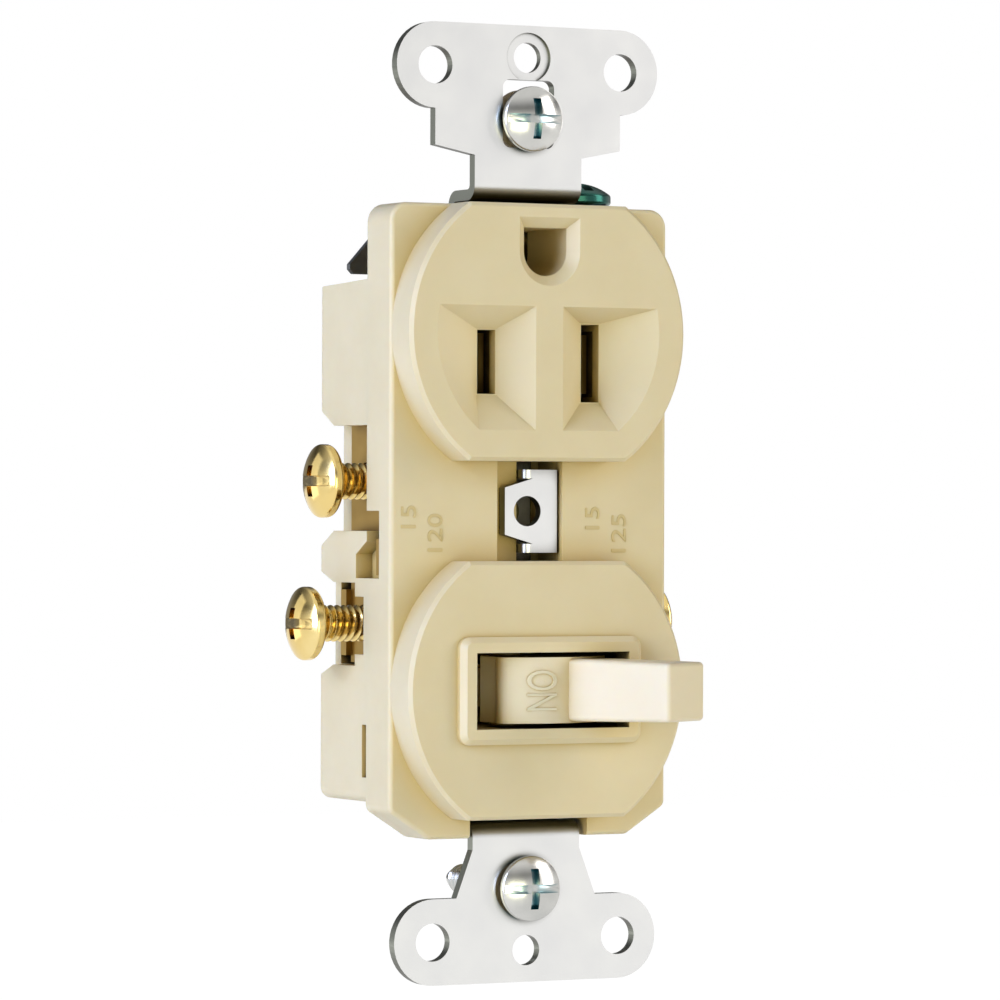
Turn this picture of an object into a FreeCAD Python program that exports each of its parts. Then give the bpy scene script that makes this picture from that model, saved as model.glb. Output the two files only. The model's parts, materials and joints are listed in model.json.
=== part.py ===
import FreeCAD, Part
import math
import os
import re
import Sketcher

# Combination device for a wall box: a toggle switch below a grounded outlet, on one steel strap.
# Millimetres. X to the right seen from the front, Y into the wall, Z up.
# The origin is the centre of the strap's hole pattern, on the strap's front plane.

doc = FreeCAD.newDocument("combination_device")
sizes = doc.addObject("Spreadsheet::Sheet", "sizes")

driving = {
    # Mounting strap
    "strap_thick": 1.2,
    "ear_across": 11.35,
    "ear_up": 47.2,
    "ear_radius": 4.65,
    "ear_hole_radius": 2.05,
    "plate_hole_up": 48.4,
    "plate_hole_radius": 1.65,
    "dimple_radius": 2.7,
    "dimple_depth": 0.35,
    "box_screw_up": 41.67,
    "opening_half_wide": 3.15,
    "opening_half_tall": 3.7,
    "opening_rise": 0.6,
    "opening_corner": 0.9,
    "low_opening_half_wide": 3.78,
    "low_opening_half_tall": 2.9,
    "shoulder_drop": 8.6,
    "shoulder_slope": 0.95,
    "neck_half": 6.55,
    "flare_half": 8.5,
    "flare_rise": 5.15,
    "bend_inside": 0.5,
    "spine_half": 3.0,
    "spine_top": 23.0,
    "spine_bottom": 8.0,
    "frame_half": 11.4,
    "frame_slope": 2.6,
    "frame_opening_half": 8.6,
    "frame_opening_tall": 6.8,
    "frame_bar": 3.0,
    # Raised pad of the strap in the window between the two faces
    "pad_right": 3.65,
    "pad_left": 2.74,
    "pad_tall": 4.5,
    "pad_shoulder": 3.55,
    "pad_tip": 2.55,
    "pad_bend": 0.7,
    "pad_bend_radius": 1.0,
    # Cover
    "seam": 5.0,
    "face_drop": 0.8,
    "face_offset": 19.25,
    "face_radius": 16.8,
    "face_cut": 2.95,
    "face_front": 5.0,
    "face_edge": 0.4,
    "flange_beyond": 0.15,
    "flange_below": 2.2,
    "flange_front": 0.6,
    "flange_corner": 2.0,
    "flange_edge": 0.5,
    "foot_wide": 4.8,
    "foot_tall": 3.1,
    "notch_clear": 0.65,
    "window_half": 4.0,
    "window_floor": 1.4,
    "window_ledge": 0.6,
    "fin_notch_front": 2.0,
    "fin_notch_high": 5.0,
    "fin_notch_low": 2.3,
    "cover_wall": 1.6,
    # Outlet face
    "recess_radius": 13.55,
    "rib_half": 1.65,
    "recess_above": 2.8,
    "recess_below": 10.56,
    "recess_depth": 2.6,
    "slot_lip": 0.12,
    "slot_wall": 1.4,
    "blade_apart": 6.35,
    "blades_below": 3.2,
    "slot_wide": 2.2,
    "hot_slot_tall": 6.9,
    "neutral_slot_tall": 8.45,
    "ground_rise": 11.9,
    "ground_half": 2.6,
    "ground_bevel": 1.1,
    # Toggle and its window
    "rim_half": 11.05,
    "rim_tall": 5.77,
    "rim_front": 1.2,
    "rim_corner": 1.2,
    "toggle_window_half": 9.3,
    "toggle_window_tall": 4.1,
    "toggle_throw": 27.0,
    "drum_radius": 10.9,
    "drum_spread": 59.0,
    "drum_edge": 1.1,
    "drum_waist": 7.35,
    "drum_waist_out": 3.86,
    "drum_foot": 6.4,
    "drum_foot_out": 1.2,
    "drum_half": 3.55,
    "drum_room": 0.6,
    "lever_half": 2.9,
    "lever_tip_half": 3.5,
    "lever_long": 12.85,
    "lever_draft": 0.8,
    "lever_edge": 0.5,
    "hub_radius": 2.7,
    "pin_radius": 1.6,
    "pin_half": 5.9,
    "pin_clear": 0.05,
    "stem_half": 2.1,
    "stem_long": 4.0,
    "plunger_radius": 1.2,
    "plunger_reach": 6.8,
    "plunger_clear": 0.06,
    "spring_seat": 2.9,
    "plunger_tail": 1.6,
    "spring_wire": 0.25,
    # Base
    "base_deep": 12.05,
    "base_bottom": 32.3,
    "block_top": 24.2,
    "block_draft": 0.5,
    "head_half": 8.0,
    "head_top": 31.4,
    "base_rear_edge": 1.2,
    "base_wall": 1.6,
    "recess_in": 3.75,
    "upper_lip_out": 0.6,
    "upper_lip_thick": 2.6,
    "lower_lip_out": 1.54,
    "lower_lip_thick": 1.4,
    "lower_recess_front": 0.7,
    "corner_tab_deep": 2.8,
    "corner_tab_high": 1.5,
    "corner_tab_low": 1.24,
    "hollow_deep": 2.6,
    "hollow_in": 2.0,
    "hollow_high": 4.1,
    "hollow_shoulder": 5.5,
    "barrier_high": 3.0,
    "barrier_low": 8.6,
    "upper_recess_top": 8.45,
    "lower_recess_bottom": 17.6,
    "barrier_cut_deep": 4.0,
    "barrier_cut_tall": 2.1,
    "lower_cut_tall": 1.45,
    "snap_high": 23.9,
    "snap_low": 29.6,
    "snap_deep": 1.0,
    "seat_clear": 0.1,
    # Terminals
    "upper_terminal": 2.4,
    "lower_terminal": 13.05,
    "terminal_deep": 10.7,
    "plate_thick": 1.0,
    "plate_front": 6.6,
    "plate_rear": 14.3,
    "rib_rear": 15.6,
    "rib_out": 0.6,
    "rib_half_tall": 3.6,
    "plate_rise": 2.9,
    "plate_fall": 0.2,
    "fin_front": 2.2,
    "fin_thick": 1.2,
    "fin_out": 2.4,
    "fin_half": 1.95,
    "terminal_head_radius": 4.0,
    "terminal_head_high": 2.55,
    "terminal_rim": 1.15,
    "rim_round": 0.4,
    "terminal_cross": 1.7,
    "terminal_shank_radius": 2.0,
    "terminal_shank_long": 8.0,
    "terminal_hole_clear": 0.05,
    "upper_backed_out": 4.45,
    "lower_backed_out": 6.5,
    "slot_cut": 1.15,
    "slot_cut_deep": 0.95,
    "bore_clear": 0.4,
    # Contacts
    "leaf_thick": 0.6,
    "blade_thick": 1.5,
    "leaf_grip": 0.1,
    "leaf_tall": 6.4,
    "leaf_front": 1.0,
    "leaf_rear": 12.6,
    "tail_tall": 2.0,
    "foot_long": 3.0,
    "pocket_clear": 0.4,
    "pin_hole_radius": 3.4,
    "ground_leaf_half": 2.2,
    "ground_leaf_rear": 13.0,
    "pin_room": 2.55,
    "ground_plate_half": 6.2,
    "ground_rivet_across": 4.9,
    "ground_rivet_radius": 0.9,
    "rivet_head_radius": 1.4,
    "rivet_head_thick": 0.5,
    # Switch contacts
    "fulcrum_deep": 12.9,
    "arm_thick": 0.8,
    "arm_half": 7.4,
    "arm_saddle": 2.2,
    "arm_saddle_deep": 0.8,
    "arm_tilt": 7.0,
    "arm_tall": 2.3,
    "arm_clear": 0.05,
    "button_across": 6.1,
    "button_radius": 1.4,
    "button_thick": 0.5,
    "bracket_thick": 0.8,
    "support_half": 1.4,
    "switch_room": 4.2,
    "switch_room_half": 8.4,
    "bus_gap": 0.3,
    # Grounding bracket and its screw
    "bracket_deep": 11.4,
    "bracket_in": 1.05,
    "bracket_corner": 1.05,
    "bracket_stand": 0.8,
    "bracket_tip": 0.5,
    "bracket_slope": 0.9,
    "bracket_inner": 5.6,
    "bracket_strip": 1.6,
    "ground_screw_across": 10.8,
    "ground_screw_deep": 9.1,
    "ground_head_radius": 3.9,
    "ground_backed_out": 0.8,
    "ground_shank_long": 6.6,
    # Box screws and washers
    "box_head_radius": 3.55,
    "box_head_high": 1.9,
    "box_rim": 0.8,
    "box_shank_radius": 1.7,
    "box_shank_long": 17.8,
    "box_point_radius": 0.85,
    "box_point_long": 2.2,
    "box_head_stand": 0.5,
    "box_slot_cut": 0.95,
    "box_neck_radius": 1.3,
    "box_neck_long": 2.7,
    "washer_radius": 3.3,
    "washer_thick": 0.8,
    "washer_clear": 0.05,
    # Assembly screws
    "assembly_in": 3.05,
    "assembly_high": 20.6,
    "assembly_low": 29.0,
    "assembly_radius": 1.1,
    "assembly_head_radius": 2.1,
    "assembly_head_high": 1.1,
    "assembly_front": 1.0,
    "assembly_sunk": 0.3,
}
for row, (alias, value) in enumerate(driving.items(), 1):
    sizes.set(f"A{row}", alias)
    sizes.set(f"B{row}", str(value))
    sizes.setAlias(f"B{row}", alias)
doc.recompute()

# Sizes that follow from others, written out wherever their names are used
derived = {
    "face_half": "(face_radius - face_cut)",
    "flange_half": "(face_radius + flange_beyond)",
    "recess_floor": "(flange_half - recess_in)",
    "assembly_across": "(flange_half - assembly_in)",
    "bracket_wing": "(flange_half - bracket_in)",
}

# Places that several pieces share
UPPER = "(face_offset - face_drop)"
LOWER = "(-face_offset - face_drop)"
TOP_FLAT = f"({UPPER} + face_half)"
BOTTOM_FLAT = f"({LOWER} - face_half)"
BLADES = f"({UPPER} - blades_below)"
GROUND = f"({BLADES} + ground_rise)"
STRAP_REAR = "(seam + strap_thick)"
BASE_REAR = "(seam + base_deep)"
EAR_END = "(ear_up + ear_radius)"
EAR_FOOT = "(ear_up - ear_radius)"
BEND_OUTSIDE = "(bend_inside + strap_thick)"
FLANGE_LOW = f"({BOTTOM_FLAT} - flange_below)"
NOTCH_HALF = "(neck_half + notch_clear)"
PLATE_OUT = "(recess_floor + plate_thick)"
FIN = "(-(barrier_high + barrier_low) / 2)"
ARM_REST = "(fulcrum_deep - arm_saddle_deep * cos(arm_tilt) + arm_saddle * sin(arm_tilt))"
CONTACT_DEEP = f"({ARM_REST} + 2 * button_thick)"
ROOM_FLOOR = f"({BASE_REAR} - base_wall)"
BUS = (f"{LOWER} + switch_room - bus_gap - tail_tall", f"{LOWER} + switch_room - bus_gap")
TAIL = (f"{BLADES} - leaf_tall / 2 - tail_tall", f"{BLADES} - leaf_tall / 2")
LEAF_GAP = "(blade_thick / 2 + leaf_grip)"
TAB_TOP = "(head_top + bracket_thick)"
TAB_RIGHT = "(ground_screw_across + ground_head_radius)"


def named(text):
    """The text of an expression, with each size's name led by the sheet's."""
    def spelled(match):
        word = match[0]
        if word in derived:
            return named(derived[word])
        return "sizes." + word if word in driving else word
    return re.sub(r"[a-z][a-z_]*", spelled, text)


def number(text):
    """The value that an expression has now."""
    return float(sizes.evalExpression(named(text)))


def bind(item, prop, text):
    item.setExpression(prop, named(text))


def finished(item, name):
    """Gives the object that is a whole sub-part the name of its file."""
    item.Label = name
    subparts.append(item)
    return item


subparts = []


# Sketches and features inside a body

def new_body(name):
    return finished(doc.addObject("PartDesign::Body", name + "_body"), name)


def new_sketch(body, role, offset):
    """A sketch parallel to one of the body's own planes."""
    plane = next(f for f in body.Origin.OriginFeatures if f.Role == role)
    sketch = body.newObject("Sketcher::SketchObject", body.Label + "_sketch")
    sketch.AttachmentSupport = [(plane, "")]
    sketch.MapMode = "FlatFace"
    bind(sketch, ".AttachmentOffset.Base.z", offset)
    return sketch


def front_sketch(body, deep):
    """A sketch in X and Z that faces the front, at a depth behind the strap's front plane."""
    return new_sketch(body, "XZ_Plane", f"-({deep})")


def arc_between(start, end, radius, turn):
    """An arc under half a turn from start to end; turn is 1 where the centre lies to the left."""
    chord = end - start
    half = chord.Length / 2
    side = FreeCAD.Vector(-chord.y, chord.x, 0).normalize() * turn
    centre = (start + end) * 0.5 + side * math.sqrt(max(radius ** 2 - half ** 2, 0))
    first, last = (start, end) if turn > 0 else (end, start)
    angles = [math.atan2(p.y - centre.y, p.x - centre.x) for p in (first, last)]
    if angles[1] < angles[0]:
        angles[1] += 2 * math.pi
    circle = Part.Circle(centre, FreeCAD.Vector(0, 0, 1), radius)
    return Part.ArcOfCircle(circle, *angles)


def outline(sketch, corners):
    """A closed outline. A corner is (x, y), or (x, y, radius, turn) where an arc leaves it."""
    points = [FreeCAD.Vector(number(c[0]), number(c[1]), 0) for c in corners]
    edges = []
    for k, corner in enumerate(corners):
        start, end = points[k], points[(k + 1) % len(points)]
        if len(corner) == 2:
            edges.append((sketch.addGeometry(Part.LineSegment(start, end), False), 1, 2))
        else:
            arc = arc_between(start, end, number(corner[2]), corner[3])
            ends = (1, 2) if corner[3] > 0 else (2, 1)
            edges.append((sketch.addGeometry(arc, False), *ends))
    rules, texts = [], []
    for k, corner in enumerate(corners):
        edge, begin, end = edges[k]
        following = edges[(k + 1) % len(edges)]
        rules.append(Sketcher.Constraint("Coincident", edge, end, following[0], following[1]))
        texts.append(None)
        rules.append(Sketcher.Constraint("DistanceX", -1, 1, edge, begin, points[k].x))
        texts.append(corner[0])
        rules.append(Sketcher.Constraint("DistanceY", -1, 1, edge, begin, points[k].y))
        texts.append(corner[1])
        if len(corner) > 2:
            rules.append(Sketcher.Constraint("Radius", edge, number(corner[2])))
            texts.append(corner[2])
    for index, text in zip(sketch.addConstraint(rules), texts):
        if text:
            bind(sketch, f"Constraints[{index}]", text)
    return sketch


def box_outline(sketch, across, up):
    """A closed rectangle between two pairs of limits."""
    (left, right), (low, high) = across, up
    return outline(sketch, [(left, low), (right, low), (right, high), (left, high)])


def ring(sketch, x, y, radius):
    """A circle about a point."""
    centre = FreeCAD.Vector(number(x), number(y), 0)
    circle = Part.Circle(centre, FreeCAD.Vector(0, 0, 1), number(radius))
    edge = sketch.addGeometry(circle, False)
    rules = [
        Sketcher.Constraint("DistanceX", -1, 1, edge, 3, centre.x),
        Sketcher.Constraint("DistanceY", -1, 1, edge, 3, centre.y),
        Sketcher.Constraint("Radius", edge, circle.Radius),
    ]
    for index, text in zip(sketch.addConstraint(rules), (x, y, radius)):
        bind(sketch, f"Constraints[{index}]", text)
    return sketch


def grow(body, sketch, length, backwards=False):
    """Pads a sketch along its normal, or against it."""
    feature = body.newObject("PartDesign::Pad", body.Label + "_pad")
    feature.Profile = sketch
    bind(feature, "Length", length)
    feature.Reversed = backwards
    sketch.Visibility = False
    return feature


def sink(body, sketch, length, forwards=False):
    """Pockets a sketch against its normal, or along it."""
    feature = body.newObject("PartDesign::Pocket", body.Label + "_pocket")
    feature.Profile = sketch
    bind(feature, "Length", length)
    feature.Reversed = forwards
    sketch.Visibility = False
    return feature


def add_block(body, x, y, z):
    return grow(body, box_outline(front_sketch(body, y[1]), x, z), f"{y[1]} - ({y[0]})")


def cut_block(body, x, y, z):
    return sink(body, box_outline(front_sketch(body, y[0]), x, z), f"{y[1]} - ({y[0]})")


def bore_deep(body, x, z, radius, y):
    """A round hole along Y."""
    return sink(body, ring(front_sketch(body, y[0]), x, z, radius), f"{y[1]} - ({y[0]})")


def bore_across(body, y, z, radius, x):
    """A round hole along X."""
    sketch = ring(new_sketch(body, "YZ_Plane", x[0]), y, z, radius)
    return sink(body, sketch, f"{x[1]} - ({x[0]})", True)


def bore_up(body, x, y, radius, z):
    """A round hole along Z."""
    sketch = ring(new_sketch(body, "XY_Plane", z[0]), x, y, radius)
    return sink(body, sketch, f"{z[1]} - ({z[0]})", True)


def edges_where(shape, test):
    """The names of the edges whose middle point and direction pass a test."""
    found = []
    for index, edge in enumerate(shape.Edges, 1):
        middle = edge.valueAt((edge.FirstParameter + edge.LastParameter) / 2)
        if test(edge, middle):
            found.append(f"Edge{index}")
    return found


def near(a, b, room=0.02):
    return abs(a - b) < room


def runs_along(edge, axis):
    """Whether an edge is straight and runs along X, Y or Z."""
    ends = edge.Vertexes
    if len(ends) != 2 or not isinstance(edge.Curve, Part.Line):
        return False
    step = ends[1].Point - ends[0].Point
    return near(abs(step.dot(axis)), step.Length, 1e-4)


X_AXIS, Y_AXIS, Z_AXIS = FreeCAD.Vector(1, 0, 0), FreeCAD.Vector(0, 1, 0), FreeCAD.Vector(0, 0, 1)


def round_edges(body, radius, test):
    """Fillets the edges of the body's last feature that pass a test."""
    doc.recompute()
    base = body.Tip
    feature = body.newObject("PartDesign::Fillet", body.Label + "_fillet")
    feature.Base = (base, edges_where(base.Shape, test))
    bind(feature, "Radius", radius)
    return feature


def bevel_edges(body, size, test):
    """Chamfers the edges of the body's last feature that pass a test."""
    doc.recompute()
    base = body.Tip
    feature = body.newObject("PartDesign::Chamfer", body.Label + "_chamfer")
    feature.Base = (base, edges_where(base.Shape, test))
    bind(feature, "Size", size)
    return feature


# Plain solids and booleans

def block(x, y, z):
    """A box between three pairs of limits."""
    item = doc.addObject("Part::Box", "block")
    for prop, axis, (low, high) in zip(("Length", "Width", "Height"), "xyz", (x, y, z)):
        bind(item, prop, f"{high} - ({low})")
        bind(item, f".Placement.Base.{axis}", low)
    return item


def rod(centre, radius, length, axis):
    """A cylinder that starts at a point and runs along an axis."""
    item = doc.addObject("Part::Cylinder", "rod")
    bind(item, "Radius", radius)
    bind(item, "Height", length)
    item.Placement.Rotation = FreeCAD.Rotation(Z_AXIS, axis)
    for name, text in zip("xyz", centre):
        bind(item, f".Placement.Base.{name}", text)
    return item


def joined(items):
    item = doc.addObject("Part::MultiFuse", "joined")
    item.Shapes = items
    item.Refine = True
    return item


def cut_from(base, tool):
    item = doc.addObject("Part::Cut", "cut")
    item.Base = base
    item.Tool = tool
    item.Refine = True
    return item


# Mounting strap: a side profile with the bends, cut to the front outline

def mirrored_corners(right):
    """An outline that runs down its right side, closed by its mirror image up the left."""
    left = []
    for k in range(len(right) - 1, -1, -1):
        x, z = right[k][0], right[k][1]
        before = right[k - 1] if k else ()
        left.append((f"-({x})", z, *before[2:]))
    return right + left


def make_strap():
    body = new_body("mounting_strap")
    low_web = f"({BOTTOM_FLAT} - bend_inside)"
    high_web = f"({TOP_FLAT} + bend_inside)"
    profile = new_sketch(body, "YZ_Plane", f"-({EAR_END})")
    outline(profile, [
        ("0", EAR_END),
        ("0", f"{high_web} + {BEND_OUTSIDE}", BEND_OUTSIDE, 1),
        (BEND_OUTSIDE, high_web),
        ("seam - bend_inside", high_web, "bend_inside", -1),
        ("seam", TOP_FLAT),
        ("seam", BOTTOM_FLAT, "bend_inside", -1),
        ("seam - bend_inside", low_web),
        (BEND_OUTSIDE, low_web, BEND_OUTSIDE, 1),
        ("0", f"{low_web} - {BEND_OUTSIDE}"),
        ("0", f"-{EAR_END}"),
        ("strap_thick", f"-{EAR_END}"),
        ("strap_thick", f"{low_web} - {BEND_OUTSIDE}", "bend_inside", -1),
        (BEND_OUTSIDE, f"{low_web} - strap_thick"),
        ("seam - bend_inside", f"{low_web} - strap_thick", BEND_OUTSIDE, 1),
        (STRAP_REAR, BOTTOM_FLAT),
        (STRAP_REAR, TOP_FLAT, BEND_OUTSIDE, 1),
        ("seam - bend_inside", f"{high_web} + strap_thick"),
        (BEND_OUTSIDE, f"{high_web} + strap_thick", "bend_inside", -1),
        ("strap_thick", f"{high_web} + {BEND_OUTSIDE}"),
        ("strap_thick", EAR_END),
    ])
    grow(body, profile, f"2 * {EAR_END}")

    front = front_sketch(body, "-strap_thick")
    box_outline(front, (f"-1.1 * {EAR_END}", f"1.1 * {EAR_END}"), (f"-1.1 * {EAR_END}", f"1.1 * {EAR_END}"))
    frame_top = "(-spine_bottom - frame_slope)"
    frame_low = f"({LOWER} - frame_opening_tall - frame_bar)"
    shoulder = "(ear_up - shoulder_drop)"
    outline(front, mirrored_corners([
        ("ear_across", EAR_END, "ear_radius", -1),
        ("ear_across + ear_radius", "ear_up", "ear_radius", -1),
        ("ear_across", EAR_FOOT),
        ("ear_across", shoulder),
        ("neck_half", f"{shoulder} - shoulder_slope"),
        ("neck_half", "spine_top"),
        ("spine_half", "spine_top"),
        ("spine_half", "-spine_bottom"),
        ("frame_half", frame_top),
        ("frame_half", frame_low),
        ("neck_half", f"{frame_low} - frame_slope / 2"),
        ("neck_half", f"-{EAR_FOOT} + flare_rise"),
        ("flare_half", f"-{EAR_FOOT}"),
        ("ear_across", f"-{EAR_FOOT}", "ear_radius", -1),
        ("ear_across + ear_radius", "-ear_up", "ear_radius", -1),
        ("ear_across", f"-{EAR_END}"),
    ]))
    sink(body, front, "seam + 3 * strap_thick")

    pad = front_sketch(body, "strap_thick")
    middle = "-face_drop"
    outline(pad, [
        ("pad_right", f"{middle} + pad_tall"),
        ("pad_right", f"{middle} - pad_tall"),
        ("pad_bend", f"{middle} - pad_tall"),
        ("pad_bend", f"{middle} - pad_shoulder"),
        ("-pad_left", f"{middle} - pad_tip"),
        ("-pad_left", f"{middle} + pad_tip"),
        ("pad_bend", f"{middle} + pad_shoulder"),
        ("pad_bend", f"{middle} + pad_tall"),
    ])
    grow(body, pad, "strap_thick")
    for side in (-1, 1):
        limits = (f"{middle} + {side} * pad_shoulder", f"{middle} + {side} * pad_tall")
        add_block(body, ("pad_bend - strap_thick", "pad_bend"), ("0", "seam"), limits[::side])
    round_edges(body, "pad_bend_radius", lambda edge, at: (
        runs_along(edge, Z_AXIS) and near(at.y, 0) and near(at.x, number("pad_bend - strap_thick"))))

    through = ("-strap_thick", f"{STRAP_REAR} + strap_thick")
    for x, z in [(a, b) for a in ("-ear_across", "ear_across") for b in ("-ear_up", "ear_up")]:
        bore_deep(body, x, z, "ear_hole_radius", through)
    for z in ("plate_hole_up", "-plate_hole_up", middle):
        bore_deep(body, "0", z, "plate_hole_radius", through)
    bore_deep(body, "0", "plate_hole_up", "dimple_radius", ("-strap_thick", "dimple_depth"))
    bore_deep(body, "0", GROUND, "pin_hole_radius", through)
    for side in (-1, 1):
        bore_deep(body, f"{side} * ground_rivet_across", GROUND, "ground_rivet_radius", through)
    cut_block(body, ("-frame_opening_half", "frame_opening_half"), through,
              (f"{LOWER} - frame_opening_tall", f"{LOWER} + frame_opening_tall"))
    opening = "(box_screw_up + opening_rise)"
    cut_block(body, ("-opening_half_wide", "opening_half_wide"), through,
              (f"{opening} - opening_half_tall", f"{opening} + opening_half_tall"))
    round_edges(body, "opening_corner", lambda edge, at: (
        runs_along(edge, Y_AXIS) and near(abs(at.x), number("opening_half_wide"))
        and near(abs(at.z - number(opening)), number("opening_half_tall"))))
    straight = "(low_opening_half_wide - low_opening_half_tall)"
    cut_block(body, (f"-{straight}", straight), through,
              ("-box_screw_up - low_opening_half_tall", "-box_screw_up + low_opening_half_tall"))
    for side in (-1, 1):
        bore_deep(body, f"{side} * {straight}", "-box_screw_up", "low_opening_half_tall", through)
    return body


# Cover: flange and two flat-sided round faces

def face_outline(sketch, centre):
    """A round face cut flat above and below."""
    flat = "sqrt(face_radius ^ 2 - face_half ^ 2)"
    return outline(sketch, [
        (f"-{flat}", f"{centre} + face_half"),
        (flat, f"{centre} + face_half", "face_radius", -1),
        (flat, f"{centre} - face_half"),
        (f"-{flat}", f"{centre} - face_half", "face_radius", -1),
    ])


def slot_recess(body, side, tall):
    """A funnel in the outlet's face that narrows from a sector to one blade slot."""
    high, low = "recess_above", "-recess_below"
    reach = {z: f"{side} * sqrt(recess_radius ^ 2 - ({z}) ^ 2)" for z in (high, low)}
    mouth = front_sketch(body, "-face_front")
    outline(mouth, [
        (f"{side} * rib_half", f"{UPPER} + {high}"),
        (reach[high], f"{UPPER} + {high}", "recess_radius", -side),
        (reach[low], f"{UPPER} + {low}"),
        (f"{side} * rib_half", f"{UPPER} + {low}"),
    ])
    floor = front_sketch(body, "recess_depth - face_front")
    half = "(slot_wide / 2 + slot_lip)"
    inner, outer = f"{side} * (blade_apart - {half})", f"{side} * (blade_apart + {half})"
    top, bottom = f"{BLADES} + {tall} / 2 + slot_lip", f"{BLADES} - {tall} / 2 - slot_lip"
    outline(floor, [(inner, top), (outer, top), (outer, bottom), (inner, bottom)])
    funnel = body.newObject("PartDesign::SubtractiveLoft", body.Label + "_funnel")
    funnel.Profile = mouth
    funnel.Sections = [floor]
    funnel.Ruled = True
    middle = f"{side} * blade_apart"
    limits = (f"{middle} - slot_wide / 2", f"{middle} + slot_wide / 2")
    cut_block(body, limits, ("-face_front", "seam"), (f"{BLADES} - {tall} / 2", f"{BLADES} + {tall} / 2"))


def contact_room(side):
    """The limits in X and Z of the space round one outlet contact."""
    middle = f"{side} * blade_apart"
    half = "(blade_thick / 2 + leaf_grip + leaf_thick + pocket_clear)"
    return ((f"{middle} - {half}", f"{middle} + {half}"),
            (f"{BLADES} - leaf_tall / 2 - pocket_clear", f"{BLADES} + leaf_tall / 2 + pocket_clear"))


def make_cover():
    body = new_body("cover")
    flange = front_sketch(body, "seam")
    outline(flange, mirrored_corners([
        ("flange_half", TOP_FLAT),
        ("flange_half", f"{FLANGE_LOW} + foot_tall"),
        ("flange_half - foot_wide", FLANGE_LOW),
    ]))
    grow(body, flange, "seam + flange_front")
    round_edges(body, "flange_corner", lambda edge, at: (
        runs_along(edge, Y_AXIS) and near(at.z, number(TOP_FLAT))))
    round_edges(body, "flange_edge * 2", lambda edge, at: (
        runs_along(edge, Y_AXIS) and at.z < number(FLANGE_LOW) + number("foot_tall") + 0.1))
    round_edges(body, "flange_edge", lambda edge, at: (
        near(at.y, -number("flange_front")) and abs(at.x) > number("flange_half") - 0.1
        and runs_along(edge, Z_AXIS)))
    for centre in (UPPER, LOWER):
        grow(body, face_outline(front_sketch(body, "seam - cover_wall"), centre),
             "seam - cover_wall + face_front")
    bevel_edges(body, "face_edge", lambda edge, at: near(at.y, -number("face_front")))

    rim = (("-rim_half", "rim_half"), (f"{LOWER} - rim_tall", f"{LOWER} + rim_tall"))
    add_block(body, rim[0], ("-face_front - rim_front", "-face_front / 2"), rim[1])
    round_edges(body, "rim_corner", lambda edge, at: (
        runs_along(edge, Y_AXIS) and near(abs(at.x), number("rim_half"))))
    bevel_edges(body, "rim_front / 2", lambda edge, at: (
        near(at.y, -number("face_front") - number("rim_front"))))

    # Toggle window, the room for its drum and the half seats of its pins
    cut_block(body, ("-toggle_window_half", "toggle_window_half"), ("-face_front - rim_front", "seam"),
              (f"{LOWER} - toggle_window_tall", f"{LOWER} + toggle_window_tall"))
    drum_reach = "drum_radius + drum_room"
    cut_block(body, (f"-({drum_reach})", drum_reach), ("cover_wall - face_front", "seam"),
              (f"{LOWER} - toggle_window_tall", f"{LOWER} + toggle_window_tall"))
    bore_up(body, "0", "seam", "pin_radius + pin_clear",
            (f"{LOWER} - pin_half - pin_clear", f"{LOWER} + pin_half + pin_clear"))

    # Outlet face: funnels, blade slots and the hole for the ground pin
    for side, tall in ((-1, "hot_slot_tall"), (1, "neutral_slot_tall")):
        slot_recess(body, side, tall)
        across, up = contact_room(side)
        cut_block(body, across, ("recess_depth - face_front + slot_wall", "seam"), up)
    pin_hole = front_sketch(body, "-face_front")
    outline(pin_hole, [
        ("-ground_half", f"{GROUND} + ground_half"),
        ("ground_half", f"{GROUND} + ground_half"),
        ("ground_half", GROUND, "ground_half * 1.0001", -1),
        ("0", f"{GROUND} - ground_half", "ground_half * 1.0001", -1),
        ("-ground_half", GROUND),
    ])
    sink(body, pin_hole, "face_front + seam")
    bevel_edges(body, "ground_bevel", lambda edge, at: (
        near(at.y, -number("face_front")) and abs(at.x) < number("ground_half") + 0.1
        and abs(at.z - number(GROUND)) < number("ground_half") + 0.1))

    # Window between the faces, notch for the strap's lower neck, notches for the break-off fin
    window = (f"{LOWER} + face_half", f"{UPPER} - face_half")
    cut_block(body, ("-window_half", "window_half"), ("-face_front", "window_floor"), window)
    cut_block(body, ("-window_ledge", "window_half"), ("0", "seam"), window)
    cut_block(body, (f"-{NOTCH_HALF}", NOTCH_HALF), ("-face_front", "seam"), (FLANGE_LOW, BOTTOM_FLAT))
    for side in (-1, 1):
        limits = (f"{side} * recess_floor", f"{side} * flange_half")
        cut_block(body, limits[::side], ("fin_notch_front", "seam"),
                  (f"{FIN} - fin_notch_low", f"{FIN} + fin_notch_high"))
    for side in (-1, 1):
        for z in ("assembly_high", "-assembly_low"):
            bore_deep(body, f"{side} * assembly_across", z, "assembly_radius + seat_clear",
                      ("assembly_front", "seam"))
        bore_deep(body, f"{side} * ground_rivet_across", GROUND, "rivet_head_radius + seat_clear",
                  ("seam - rivet_head_thick - seat_clear", "seam"))
    return body


# Base: rear housing with a step at its top, terminal recesses down both sides and rooms inside

def side_cut(body, side, deep, corners):
    """Cuts an outline in Y and Z into one side of the base."""
    sketch = new_sketch(body, "YZ_Plane", f"{side} * flange_half")
    outline(sketch, corners)
    return sink(body, sketch, deep, side < 0)


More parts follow.
